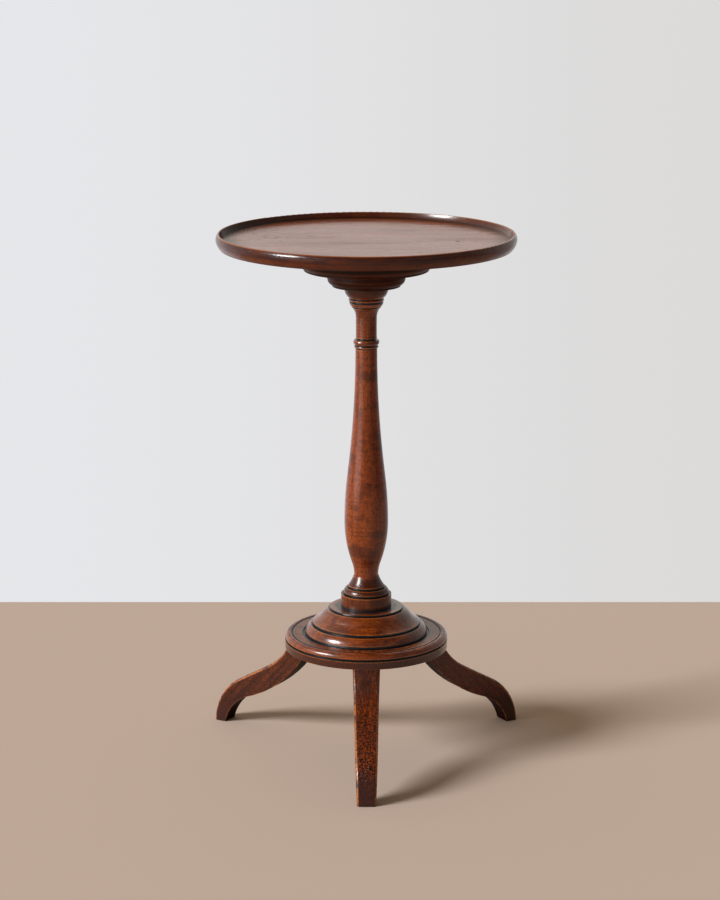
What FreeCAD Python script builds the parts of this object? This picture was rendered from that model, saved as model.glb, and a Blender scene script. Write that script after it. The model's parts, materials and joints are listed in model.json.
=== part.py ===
import FreeCAD, Part
import math
import operator
import os
import Sketcher

# A round dished table on a turned column and three S-shaped legs, in millimetres.
# The origin is on the floor under the column's axis, and the front leg points along -Y.

SIZES = {
    # dished top, turned from one board
    "top_radius": 203.0,
    "board_thickness": 20.3,
    "rim_rise": 7.5,
    "rim_width": 9.3,
    "rim_hollow": 0.35,
    "rim_undercut": 5.5,
    "rim_belly_rise": 12.5,
    "lip_inset": 2.5,
    "lip_width": 2.6,
    "lip_crown": 0.5,
    "edge_lift": 9.0,
    "underside_flat_radius": 128.0,
    # boss under the top: a wide plate and a narrower collar
    "boss_plate_radius": 92.0,
    "boss_plate_foot_radius": 84.7,
    "boss_plate_thickness": 21.6,
    "boss_plate_round_rise": 10.6,
    "collar_radius": 52.9,
    "collar_foot_radius": 46.4,
    "collar_thickness": 21.9,
    "collar_round_rise": 8.6,
    "boss_fillet_rise": 1.7,
    "boss_fillet_step": 1.6,
    # column: drum, ring and bell at its foot
    "drum_radius": 34.9,
    "drum_height": 18.5,
    "foot_ring_radius": 31.4,
    "foot_ring_top_radius": 27.3,
    "foot_ring_height": 7.6,
    "foot_ring_bow": 1.1,
    "bell_radius": 25.8,
    "bell_top_radius": 17.3,
    "bell_height": 15.4,
    "bell_hollow": 0.8,
    # column: baluster
    "waist_radius": 16.6,
    "belly_radius": 30.2,
    "shaft_top_radius": 14.9,
    "waist_to_belly": 77.0,
    "belly_to_necking": 242.2,
    # column: necking ring and neck
    "necking_fillet_radius": 16.1,
    "necking_fillet_height": 2.6,
    "necking_fillet_bow": 0.5,
    "necking_bead_edge_radius": 16.2,
    "necking_bead_height": 7.0,
    "necking_bead_bow": 1.6,
    "neck_radius": 14.4,
    "neck_height": 29.5,
    "neck_hollow": 0.15,
    # column: capital
    "cavetto_top_radius": 20.0,
    "cavetto_height": 13.7,
    "lower_bead_foot_radius": 21.0,
    "lower_bead_radius": 23.2,
    "lower_bead_height": 5.3,
    "upper_bead_edge_radius": 23.3,
    "upper_bead_height": 3.6,
    "upper_bead_bow": 0.8,
    "cup_foot_radius": 24.3,
    "cup_radius": 30.0,
    "cup_round_rise": 12.6,
    "cup_height": 15.6,
    # quirks: the narrow grooves between the turned mouldings
    "quirk_width": 1.5,
    "quirk_depth": 1.3,
    # spigots of the column and the wedges that spread them
    "upper_spigot_radius": 14.0,
    "lower_spigot_radius": 20.0,
    "spigot_clearance": 0.1,
    "spigot_end_gap": 0.2,
    "wedge_thickness": 2.6,
    "wedge_tip": 0.8,
    "wedge_length": 22.0,
    "wedge_inset": 1.0,
    # turned dome of the base
    "dome_foot_radius": 84.7,
    "dome_height": 37.2,
    "dome_step_radius": 76.6,
    "dome_step_height": 13.0,
    "dome_step_bow": 1.8,
    "dome_fillet_radius": 74.8,
    "dome_fillet_height": 1.2,
    "dome_ogee_middle_radius": 63.0,
    "dome_ogee_middle_height": 25.0,
    "dome_ogee_hollow": 0.7,
    "dome_ogee_round": 0.7,
    "dome_shoulder_radius": 53.0,
    "dome_shoulder_height": 34.7,
    "dome_ledge_radius": 50.9,
    "dome_ledge_round": 1.0,
    # turned plate of the base
    "plate_radius": 112.7,
    "plate_thickness": 20.3,
    "fascia_height": 11.2,
    "plate_bead_drop": 5.7,
    "plate_bead_width": 9.0,
    "plate_bead_edge_inset": 0.8,
    "plate_quirk_width": 1.3,
    "dome_seat_quirk_width": 3.0,
    # legs, given by the outline of their side
    "leg_height": 147.0,
    "leg_reach": 245.0,
    "leg_root_depth": 32.0,
    "leg_root_width": 37.4,
    "leg_foot_depth": 18.0,
    "leg_foot_width": 25.6,
    "leg_outer_arris": 4.0,
    "leg_inner_arris": 1.2,
    "leg_foot_arris": 0.8,
    "outer_knee_round": 10.7,
    "inner_knee_round": 7.8,
    # dowels between legs and plate
    "dowel_radius": 4.75,
    "dowel_spacing": 18.0,
    "dowel_inset": 13.0,
    "dowel_in_plate": 14.0,
    "dowel_in_leg": 21.0,
    "dowel_clearance": 0.1,
    "dowel_end_gap": 0.5,
    # slotted countersunk wood screws
    "screw_head_radius": 4.6,
    "screw_head_height": 2.5,
    "screw_shank_radius": 2.4,
    "screw_thread_radius": 2.1,
    "screw_point_length": 3.5,
    "screw_point_radius": 0.4,
    "screw_slot_width": 1.1,
    "screw_slot_depth": 1.2,
    "screw_clearance": 0.15,
    "boss_screw_circle": 69.0,
    "boss_screw_length": 33.0,
    "dome_screw_circle": 52.0,
    "dome_screw_length": 38.0,
    # how far a cut runs past the piece that it cuts
    "overrun": 5.0,
}

# Where the baluster's two curves change from hollow to round, along each rise.
WAIST_TURN_SHARE = 0.25
NECK_TURN_SHARE = 0.28

# Points of a leg's outer and inner curve, between root and foot, as shares of the leg's own
# outward run and of its height above the floor.
OUTER_BEND_SHARES = (0.290, 0.668)
OUTER_KNEE_SHARES = (0.672, 0.472)
INNER_BEND_SHARES = (0.228, 0.629)
INNER_KNEE_SHARES = (0.727, 0.306)

BOSS_SCREW_COUNT = 4
DOME_SCREW_COUNT = 3
LEG_LABELS = ("leg_front", "leg_rear_right", "leg_rear_left")
FIRST_LEG_ANGLE = -90.0
FIRST_DOME_SCREW_ANGLE = 90.0
FIRST_BOSS_SCREW_ANGLE = 45.0
FULL_TURN = 360.0

# How near two points count as one.
TOLERANCE = 0.001


# Sizes with their sheet expressions

class Size:
    """A number that keeps the sheet expression it was worked out from."""

    def __init__(self, value, text):
        self.value = value
        self.text = text

    def __add__(self, other):
        return combined(self, "+", other, operator.add)

    def __radd__(self, other):
        return combined(other, "+", self, operator.add)

    def __sub__(self, other):
        return combined(self, "-", other, operator.sub)

    def __rsub__(self, other):
        return combined(other, "-", self, operator.sub)

    def __mul__(self, other):
        return combined(self, "*", other, operator.mul)

    def __rmul__(self, other):
        return combined(other, "*", self, operator.mul)

    def __truediv__(self, other):
        return combined(self, "/", other, operator.truediv)

    def __neg__(self):
        return combined(0, "-", self, operator.sub)


def as_size(number):
    """A plain number as a Size; a Size as it is."""
    if isinstance(number, Size):
        return number
    return Size(number, repr(number))


def combined(left, sign, right, operation):
    """The Size of one arithmetic step on two sizes or numbers."""
    first = as_size(left)
    second = as_size(right)
    text = "(" + first.text + " " + sign + " " + second.text + ")"
    return Size(operation(first.value, second.value), text)


def arc_tangent(size):
    """Angle in degrees whose tangent is the given ratio."""
    return Size(math.degrees(math.atan(size.value)), "atan(" + size.text + ")")


def bowed(run, rise, bow):
    """Radius of an arc over a chord, from how far the arc stands off the chord's middle."""
    return (run * run + rise * rise) / (bow * 8) + bow / 2


def upright(run, rise):
    """Radius of an arc that starts or ends upright."""
    return (run * run + rise * rise) / (run * 2)


# Outlines and features

class Outline:
    """A closed line with the material on its left, as points and the way that leads to each."""

    def __init__(self, across, up):
        self.points = [(as_size(across), as_size(up))]
        self.ways = [None]
        self.smooth_points = set()

    def add(self, across, up, way):
        self.points.append((as_size(across), as_size(up)))
        self.ways.append(way)

    def line(self, across, up):
        self.add(across, up, None)

    def round(self, across, up, radius):
        self.add(across, up, (radius, 1))

    def hollow(self, across, up, radius):
        self.add(across, up, (radius, -1))

    def round_bow(self, across, up, bow):
        self.round(across, up, self.bow_radius(across, up, bow))

    def hollow_bow(self, across, up, bow):
        self.hollow(across, up, self.bow_radius(across, up, bow))

    def bow_radius(self, across, up, bow):
        last_across, last_up = self.points[-1]
        return bowed(across - last_across, up - last_up, bow)

    def heading(self):
        """Direction, in radians, in which the last line or arc arrives."""
        chord = flat_vector(self.points[-1]) - flat_vector(self.points[-2])
        angle = math.atan2(chord.y, chord.x)
        if self.ways[-1] is None:
            return angle
        radius, side = self.ways[-1]
        return angle + side * math.asin(chord.Length / 2 / radius.value)

    def eased(self, across, up):
        """Arc that goes on smoothly from the last one, so that its radius needs no size."""
        arrival = self.heading()
        self.smooth_points.add(len(self.points) - 1)
        chord = flat_vector((across, up)) - flat_vector(self.points[-1])
        turn = math.remainder(math.atan2(chord.y, chord.x) - arrival, math.tau)
        radius = chord.Length / 2 / math.sin(abs(turn))
        self.add(across, up, (Size(radius, None), math.copysign(1, turn)))

    def back_along(self, edge):
        """Straight to the end of another outline, then along it to its start."""
        last = len(edge.points) - 1
        for number in range(last, -1, -1):
            if number in edge.smooth_points:
                self.smooth_points.add(len(self.points))
            way = None if number == last else edge.ways[number + 1]
            self.add(*edge.points[number], way and (way[0], -way[1]))


def plane_of(body, role):
    for feature in body.Origin.OriginFeatures:
        if feature.Role == role:
            return feature
    raise ValueError("no " + role)


def flat_vector(point):
    return FreeCAD.Vector(point[0].value, point[1].value, 0)


def arc_middle(start, end, radius, side):
    """Middle of the short arc from start to end, with its centre on the left (1) or right (-1)."""
    chord = end - start
    half = chord.Length / 2
    stand_off = radius - math.sqrt(radius * radius - half * half)
    left = FreeCAD.Vector(-chord.y, chord.x, 0).normalize()
    return (start + end) * 0.5 - left * (side * stand_off)


def bind(sketch, constraint, size):
    index = sketch.addConstraint(constraint)
    sketch.setExpression("Constraints[" + str(index) + "]", size.text)


def pin_point(sketch, edge, end, point):
    """Hold one end of a sketch line at its named distances from the sketch's axes."""
    for kind, axis, size in (("DistanceX", -2, point[0]), ("DistanceY", -1, point[1])):
        if size.value == 0:
            sketch.addConstraint(Sketcher.Constraint("PointOnObject", edge, end, axis))
        else:
            bind(sketch, Sketcher.Constraint(kind, edge, end, size.value), size)


def add_outline(sketch, outline):
    """Draw one closed outline in a sketch and bind its points and radii to the sheet."""
    count = len(outline.points)
    ends = []
    for number in range(count):
        start = flat_vector(outline.points[number])
        end = flat_vector(outline.points[(number + 1) % count])
        way = outline.ways[(number + 1) % count]
        if way is None:
            edge = sketch.addGeometry(Part.LineSegment(start, end), False)
            ends.append((edge, 1, 2))
            continue
        middle = arc_middle(start, end, way[0].value, way[1])
        edge = sketch.addGeometry(Part.Arc(start, middle, end), False)
        begins_first = (sketch.getPoint(edge, 1) - start).Length < (sketch.getPoint(edge, 1) - end).Length
        ends.append((edge, 1, 2) if begins_first else (edge, 2, 1))
    for number in range(count):
        edge, first, last = ends[number]
        next_edge, next_first, next_last = ends[(number + 1) % count]
        meeting = "Tangent" if (number + 1) % count in outline.smooth_points else "Coincident"
        sketch.addConstraint(Sketcher.Constraint(meeting, edge, last, next_edge, next_first))
        pin_point(sketch, edge, first, outline.points[number])
        way = outline.ways[(number + 1) % count]
        if way is not None and way[0].text is not None:
            bind(sketch, Sketcher.Constraint("Radius", edge, way[0].value), way[0])


def draw(body, name, outlines, role="XZ_Plane", shift=None, lift=None, aside=None):
    """Sketch of closed outlines on one of the body's own planes, moved across, up and off it."""
    sketch = body.newObject("Sketcher::SketchObject", name)
    sketch.AttachmentSupport = [(plane_of(body, role), "")]
    sketch.MapMode = "FlatFace"
    for outline in outlines:
        add_outline(sketch, outline)
    if shift is not None:
        sketch.setExpression("AttachmentOffset.Base.x", shift.text)
    if lift is not None:
        sketch.setExpression("AttachmentOffset.Base.y", lift.text)
    if aside is not None:
        sketch.setExpression("AttachmentOffset.Base.z", aside.text)
    return sketch


def revolved(body, name, kind, outline, shift, lift, aside):
    sketch = draw(body, name + "_outline", [outline], shift=shift, lift=lift, aside=aside)
    feature = body.newObject(kind, name)
    feature.Profile = sketch
    feature.ReferenceAxis = (sketch, ["V_Axis"])
    feature.Angle = FULL_TURN
    return feature


def turned(body, name, outline, shift=None, lift=None, aside=None):
    """Solid turned from an outline about the upright axis of its own sketch."""
    return revolved(body, name, "PartDesign::Revolution", outline, shift, lift, aside)


def bored(body, name, outline, shift=None, lift=None, aside=None):
    """Hole turned from an outline about the upright axis of its own sketch."""
    return revolved(body, name, "PartDesign::Groove", outline, shift, lift, aside)


def sawn(body, name, outlines, role):
    """Cut straight through the whole body along an outline."""
    sketch = draw(body, name + "_outline", outlines, role=role)
    feature = body.newObject("PartDesign::Pocket", name)
    feature.Profile = sketch
    feature.Type = "ThroughAll"
    feature.Midplane = True
    return feature


def ring_of(body, name, features, count):
    """Copies of features, evenly round the body's upright axis."""
    pattern = body.newObject("PartDesign::PolarPattern", name)
    pattern.Originals = features
    pattern.Axis = (plane_of(body, "Z_Axis"), [""])
    pattern.Angle = FULL_TURN
    pattern.Occurrences = count
    body.Tip = pattern
    return pattern


def new_body(label, height=None, angle=0.0):
    """Body named after its piece, raised to its seat and turned about the column's axis."""
    body = doc.addObject("PartDesign::Body", label)
    body.Label = label
    body.Placement.Rotation = FreeCAD.Rotation(FreeCAD.Vector(0, 0, 1), angle)
    if height is not None:
        body.setExpression("Placement.Base.z", height.text)
    return body


doc = FreeCAD.newDocument("tripod_table")
sheet = doc.addObject("Spreadsheet::Sheet", "Sizes")
for row, (alias, number) in enumerate(SIZES.items(), start=1):
    sheet.set("A" + str(row), alias)
    sheet.set("B" + str(row), str(number))
    sheet.setAlias("B" + str(row), alias)
doc.recompute()


class Named:
    """The sheet's sizes, by name."""

    def __getattr__(self, alias):
        return Size(SIZES[alias], "Sizes." + alias)


size = Named()

# Heights of the seats, from the floor up.
plate_seat = size.leg_height
dome_seat = plate_seat + size.plate_thickness
column_seat = dome_seat + size.dome_height


# Top

def make_table_top(seat):
    body = new_body("table_top", seat, FIRST_BOSS_SCREW_ANGLE)
    rim_inside = size.top_radius - size.rim_width
    lip_outside = size.top_radius - size.lip_inset
    lip_inside = lip_outside - size.lip_width
    edge_radius = size.top_radius - size.rim_undercut
    widest_height = size.edge_lift + size.rim_belly_rise
    lip_height = size.board_thickness + size.rim_rise
    outline = Outline(0, 0)
    outline.line(size.underside_flat_radius, 0)
    outline.line(edge_radius, size.edge_lift)
    outline.round(size.top_radius, widest_height, upright(size.rim_undercut, size.rim_belly_rise))
    outline.round(lip_outside, lip_height, upright(size.lip_inset, lip_height - widest_height))
    outline.round_bow(lip_inside, lip_height, size.lip_crown)
    outline.hollow_bow(rim_inside, size.board_thickness, size.rim_hollow)
    outline.line(0, size.board_thickness)
    turned(body, "turned_board", outline)
    bite = size.boss_screw_length - size.boss_plate_thickness
    pilot = bored(body, "screw_pilot", pilot_outline(bite), shift=size.boss_screw_circle)
    ring_of(body, "screw_pilots", [pilot], BOSS_SCREW_COUNT)
    return body


# Boss

def disc_outline(bore, foot_radius, radius, round_rise, thickness):
    """Turned disc with a fillet at its foot, which stands out from the rounded edge above it."""
    round_foot = size.boss_fillet_rise
    round_start = foot_radius - size.boss_fillet_step
    outline = Outline(bore, 0)
    outline.line(foot_radius, 0)
    outline.line(foot_radius, round_foot)
    outline.line(round_start, round_foot)
    outline.round(radius, round_foot + round_rise, upright(radius - round_start, round_rise))
    outline.line(radius, thickness)
    outline.line(bore, thickness)
    return outline


def make_boss_plate(seat):
    body = new_body("boss_plate", seat, FIRST_BOSS_SCREW_ANGLE)
    bore = size.upper_spigot_radius + size.spigot_clearance
    turned(body, "turned_disc", disc_outline(bore, size.boss_plate_foot_radius, size.boss_plate_radius,
                                             size.boss_plate_round_rise, size.boss_plate_thickness))
    hole = bored(body, "screw_hole", screw_hole_outline(size.boss_plate_thickness), shift=size.boss_screw_circle)
    ring_of(body, "screw_holes", [hole], BOSS_SCREW_COUNT)
    return body


def make_boss_collar(seat):
    body = new_body("boss_collar", seat)
    bore = size.upper_spigot_radius + size.spigot_clearance
    turned(body, "turned_disc", disc_outline(bore, size.collar_foot_radius, size.collar_radius,
                                             size.collar_round_rise, size.collar_thickness))
    return body


# Column

def plain_ring(radius, height):
    """Short cylinder of the column."""
    outline = Outline(0, 0)
    outline.line(radius, 0)
    outline.line(radius, height)
    outline.line(0, height)
    return outline


def bead_ring(edge_radius, height, bow):
    """Ring of the column with a rounded edge."""
    outline = Outline(0, 0)
    outline.line(edge_radius, 0)
    outline.round_bow(edge_radius, height, bow)
    outline.line(0, height)
    return outline


def foot_ring_outline():
    outline = Outline(0, 0)
    outline.line(size.foot_ring_radius, 0)
    outline.round_bow(size.foot_ring_top_radius, size.foot_ring_height, size.foot_ring_bow)
    outline.line(0, size.foot_ring_height)
    return outline


def bell_outline():
    outline = Outline(0, 0)
    outline.line(size.bell_radius, 0)
    outline.hollow_bow(size.bell_top_radius, size.bell_height, size.bell_hollow)
    outline.line(0, size.bell_height)
    return outline


def baluster_outline():
    """Two ogees, upright at the waist, at the belly and under the necking."""
    swell = size.belly_radius - size.waist_radius
    turn_radius = size.waist_radius + swell * WAIST_TURN_SHARE
    turn_height = size.waist_to_belly * WAIST_TURN_SHARE
    taper = size.belly_radius - size.shaft_top_radius
    slim_radius = size.belly_radius - taper * NECK_TURN_SHARE
    slim_height = size.waist_to_belly + size.belly_to_necking * NECK_TURN_SHARE
    height = size.waist_to_belly + size.belly_to_necking
    outline = Outline(0, 0)
    outline.line(size.waist_radius, 0)
    outline.hollow(turn_radius, turn_height, upright(turn_radius - size.waist_radius, turn_height))
    outline.round(size.belly_radius, size.waist_to_belly,
                  upright(size.belly_radius - turn_radius, size.waist_to_belly - turn_height))
    outline.round(slim_radius, slim_height,
                  upright(size.belly_radius - slim_radius, slim_height - size.waist_to_belly))
    outline.hollow(size.shaft_top_radius, height,
                   upright(slim_radius - size.shaft_top_radius, height - slim_height))
    outline.line(0, height)
    return outline


def neck_outline():
    height = size.neck_height + size.cavetto_height
    outline = Outline(0, 0)
    outline.line(size.neck_radius, 0)
    outline.hollow_bow(size.neck_radius, size.neck_height, size.neck_hollow)
    outline.hollow(size.cavetto_top_radius, height,
                   upright(size.cavetto_top_radius - size.neck_radius, size.cavetto_height))
    outline.line(0, height)
    return outline


def lower_bead_outline():
    outline = Outline(0, 0)
    outline.line(size.lower_bead_foot_radius, 0)
    outline.round(size.lower_bead_radius, size.lower_bead_height,
                  upright(size.lower_bead_radius - size.lower_bead_foot_radius, size.lower_bead_height))
    outline.line(0, size.lower_bead_height)
    return outline


def cup_outline():
    outline = Outline(0, 0)
    outline.line(size.cup_foot_radius, 0)
    outline.round(size.cup_radius, size.cup_round_rise,
                  upright(size.cup_radius - size.cup_foot_radius, size.cup_round_rise))
    outline.line(size.cup_radius, size.cup_height)
    outline.line(0, size.cup_height)
    return outline


def quirk(radius):
    """Groove of the common width, cut in under the smaller of its two neighbours."""
    return plain_ring(radius - size.quirk_depth, size.quirk_width), size.quirk_width


def column_members():
    """The column's mouldings from the drum up: name, outline and height of each."""
    necking_fillet = bead_ring(size.necking_fillet_radius, size.necking_fillet_height, size.necking_fillet_bow)
    necking_bead = bead_ring(size.necking_bead_edge_radius, size.necking_bead_height, size.necking_bead_bow)
    upper_bead = bead_ring(size.upper_bead_edge_radius, size.upper_bead_height, size.upper_bead_bow)
    return [
        ("drum", plain_ring(size.drum_radius, size.drum_height), size.drum_height),
        ("quirk_over_drum", *quirk(size.foot_ring_radius)),
        ("foot_ring", foot_ring_outline(), size.foot_ring_height),
        ("quirk_under_bell", *quirk(size.bell_radius)),
        ("bell", bell_outline(), size.bell_height),
        ("baluster", baluster_outline(), size.waist_to_belly + size.belly_to_necking),
        ("quirk_under_necking", *quirk(size.shaft_top_radius)),
        ("necking_fillet", necking_fillet, size.necking_fillet_height),
        ("quirk_in_necking", *quirk(size.necking_bead_edge_radius)),
        ("necking_bead", necking_bead, size.necking_bead_height),
        ("quirk_over_necking", *quirk(size.neck_radius)),
        ("neck", neck_outline(), size.neck_height + size.cavetto_height),
        ("quirk_over_cavetto", *quirk(size.cavetto_top_radius)),
        ("lower_bead", lower_bead_outline(), size.lower_bead_height),
        ("quirk_between_beads", *quirk(size.lower_bead_radius)),
        ("upper_bead", upper_bead, size.upper_bead_height),
        ("quirk_under_cup", *quirk(size.upper_bead_edge_radius)),
        ("cup", cup_outline(), size.cup_height),
    ]


def column_length():
    total = as_size(0)
    for name, outline, height in column_members():
        total = total + height
    return total


def make_column(seat):
    body = new_body("column", seat)
    lift = as_size(0)
    for name, outline, height in column_members():
        turned(body, name, outline, lift=lift)
        lift = lift + height
    upper_reach = size.collar_thickness + size.boss_plate_thickness - size.spigot_end_gap
    turned(body, "upper_spigot", plain_ring(size.upper_spigot_radius, upper_reach), lift=lift)
    lower_reach = size.dome_height + size.plate_thickness
    turned(body, "lower_spigot", plain_ring(size.lower_spigot_radius, lower_reach), lift=-lower_reach)
    upper_end = lift + upper_reach
    sawn(body, "upper_kerf", [wedge_outline(upper_end, upper_end - size.wedge_length)], "XZ_Plane")
    lower_end = -lower_reach
    sawn(body, "lower_kerf", [wedge_outline(lower_end, lower_end + size.wedge_length)], "XZ_Plane")
    return body


# Wedges

def wedge_outline(thick_end, thin_end):
    """Tapered slip between two heights, which also gives the kerf that it is driven into."""
    low_half = size.wedge_tip / 2
    high_half = size.wedge_thickness / 2
    low_end = thin_end
    high_end = thick_end
    if thick_end.value < thin_end.value:
        low_half, high_half = high_half, low_half
        low_end, high_end = high_end, low_end
    outline = Outline(-low_half, low_end)
    outline.line(low_half, low_end)
    outline.line(high_half, high_end)
    outline.line(-high_half, high_end)
    return outline


def make_wedge(label, seat, spigot_radius, points_up):
    body = new_body(label, seat)
    tip = size.wedge_length if points_up else -size.wedge_length
    sketch = draw(body, "taper", [wedge_outline(as_size(0), tip)])
    feature = body.newObject("PartDesign::Pad", "slip")
    feature.Profile = sketch
    feature.Midplane = True
    width = (spigot_radius - size.wedge_inset) * 2
    feature.setExpression("Length", width.text)
    return body


# Base

def make_base_dome(seat):
    body = new_body("base_dome", seat, FIRST_DOME_SCREW_ANGLE)
    bore = size.lower_spigot_radius + size.spigot_clearance
    fillet_foot = size.dome_step_height + size.quirk_width
    fillet_top = fillet_foot + size.dome_fillet_height
    ledge_foot = size.dome_shoulder_height + size.plate_quirk_width
    quirk_root = size.dome_ledge_radius - size.quirk_depth
    outline = Outline(bore, 0)
    outline.line(size.dome_foot_radius, 0)
    outline.round_bow(size.dome_step_radius, size.dome_step_height, size.dome_step_bow)
    outline.line(size.dome_fillet_radius - size.quirk_depth, size.dome_step_height)
    outline.line(size.dome_fillet_radius - size.quirk_depth, fillet_foot)
    outline.line(size.dome_fillet_radius, fillet_foot)
    outline.line(size.dome_fillet_radius, fillet_top)
    outline.hollow_bow(size.dome_ogee_middle_radius, size.dome_ogee_middle_height, size.dome_ogee_hollow)
    outline.round_bow(size.dome_shoulder_radius, size.dome_shoulder_height, size.dome_ogee_round)
    outline.line(quirk_root, size.dome_shoulder_height)
    outline.line(quirk_root, ledge_foot)
    outline.line(size.dome_ledge_radius, ledge_foot)
    outline.round(size.dome_ledge_radius - size.dome_ledge_round, size.dome_height,
                  upright(size.dome_ledge_round, size.dome_height - ledge_foot))
    outline.line(bore, size.dome_height)
    turned(body, "turned_dome", outline)
    bite = size.dome_screw_length - size.plate_thickness
    pilot = bored(body, "screw_pilot", pilot_outline(bite), shift=size.dome_screw_circle)
    ring_of(body, "screw_pilots", [pilot], DOME_SCREW_COUNT)
    return body


def make_base_plate(seat):
    body = new_body("base_plate", seat, FIRST_LEG_ANGLE)
    bore = size.lower_spigot_radius + size.spigot_clearance
    bead_foot = size.fascia_height + size.plate_quirk_width
    bead_widest = size.plate_thickness - size.plate_bead_drop
    bead_edge = size.plate_radius - size.plate_bead_edge_inset
    bead_inside = size.plate_radius - size.plate_bead_width
    quirk_floor = size.plate_thickness - size.quirk_depth
    ring_outside = bead_inside - size.plate_quirk_width
    ring_inside = size.dome_foot_radius + size.dome_seat_quirk_width
    outline = Outline(bore, 0)
    outline.line(size.plate_radius, 0)
    outline.line(size.plate_radius, size.fascia_height)
    outline.line(size.plate_radius - size.quirk_depth - size.plate_bead_edge_inset, size.fascia_height)
    outline.line(size.plate_radius - size.quirk_depth - size.plate_bead_edge_inset, bead_foot)
    outline.line(bead_edge, bead_foot)
    outline.round(size.plate_radius, bead_widest,
                  upright(size.plate_bead_edge_inset, bead_widest - bead_foot))
    outline.round(bead_inside, size.plate_thickness, upright(size.plate_bead_width, size.plate_bead_drop))
    outline.line(bead_inside, quirk_floor)
    outline.line(ring_outside, quirk_floor)
    outline.line(ring_outside, size.plate_thickness)
    outline.line(ring_inside, size.plate_thickness)
    outline.line(ring_inside, quirk_floor)
    outline.line(size.dome_foot_radius, quirk_floor)
    outline.line(size.dome_foot_radius, size.plate_thickness)
    outline.line(bore, size.plate_thickness)
    turned(body, "turned_plate", outline)
    hole = bored(body, "screw_hole", screw_hole_outline(size.plate_thickness), shift=-size.dome_screw_circle)
    ring_of(body, "screw_holes", [hole], DOME_SCREW_COUNT)
    sockets = []
    for name, aside in dowel_places():
        depth = size.dowel_in_plate + size.dowel_end_gap
        sockets.append(bored(body, name + "_socket", dowel_socket(-size.overrun, depth),
                             shift=dowel_circle(), aside=aside))
    ring_of(body, "dowel_sockets", sockets, len(LEG_LABELS))
    return body


# Legs

def leg_angle(label):
    """Direction of a leg, seen from above: the legs stand evenly round the column."""
    return FIRST_LEG_ANGLE + LEG_LABELS.index(label) * FULL_TURN / len(LEG_LABELS)


def leg_points(bend_shares, knee_shares, root_radius, foot_radius):
    """Root, bend, knee and foot of one edge of a leg's side, as radius and height."""
    run = foot_radius - root_radius
    points = [(root_radius, size.leg_height)]
    for out_share, height_share in (bend_shares, knee_shares):
        points.append((root_radius + run * out_share, size.leg_height * height_share))
    points.append((foot_radius, as_size(0)))
    return points


def outer_leg_points():
    return leg_points(OUTER_BEND_SHARES, OUTER_KNEE_SHARES, size.plate_radius, size.leg_reach)


def inner_leg_points():
    root_radius = size.plate_radius - size.leg_root_depth
    foot_radius = size.leg_reach - size.leg_foot_depth
    return leg_points(INNER_BEND_SHARES, INNER_KNEE_SHARES, root_radius, foot_radius)


def leg_edge(points, knee_round):
    """One edge of a leg's side, from the foot up: a knee of known bow, and arcs that run on from it."""
    root, bend, knee, foot = points
    edge = Outline(*foot)
    edge.round_bow(*knee, knee_round)
    edge.eased(*bend)
    edge.eased(*root)
    return edge


def leg_outline():
    """Side of a leg: up the outer edge, across the root and down the inner edge."""
    outline = leg_edge(outer_leg_points(), size.outer_knee_round)
    outline.back_along(leg_edge(inner_leg_points(), size.inner_knee_round))
    return outline


def leg_off_cut(side):
    """Waste beside a leg, seen from its foot: the leg narrows evenly from root to foot."""
    foot_half = size.leg_foot_width / 2
    root_half = size.leg_root_width / 2
    spread = (root_half - foot_half) / size.leg_height * size.overrun
    above = size.leg_height + size.overrun
    corners = [
        (foot_half - spread, -size.overrun),
        (size.leg_reach, -size.overrun),
        (size.leg_reach, above),
        (root_half + spread, above),
    ]
    if side < 0:
        corners = [(-across, up) for across, up in reversed(corners)]
    outline = Outline(*corners[0])
    for across, up in corners[1:]:
        outline.line(across, up)
    return outline


def edges_along(shape, chains):
    """Names of the edges that run between neighbouring (radius, height) points of a chain."""
    names = []
    for number, edge in enumerate(shape.Edges, start=1):
        ends = [(math.hypot(vertex.X, vertex.Y), vertex.Z) for vertex in edge.Vertexes]
        for chain in chains:
            if len(ends) == 2 and follows(ends, chain):
                names.append("Edge" + str(number))
    return names


def follows(ends, chain):
    places = [(radius.value, height.value) for radius, height in chain]
    for pair in zip(places, places[1:]):
        for first, last in (pair, pair[::-1]):
            if math.dist(ends[0], first) < TOLERANCE and math.dist(ends[1], last) < TOLERANCE:
                return True
    return False


def floor_edges(shape):
    """Names of the edges that lie on the floor."""
    names = []
    for number, edge in enumerate(shape.Edges, start=1):
        if edge.BoundBox.ZMax < TOLERANCE:
            names.append("Edge" + str(number))
    return names


def softened(body, name, base, edges, radius):
    feature = body.newObject("PartDesign::Fillet", name)
    feature.Base = (base, edges)
    feature.setExpression("Radius", radius.text)
    doc.recompute()
    return feature


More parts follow.
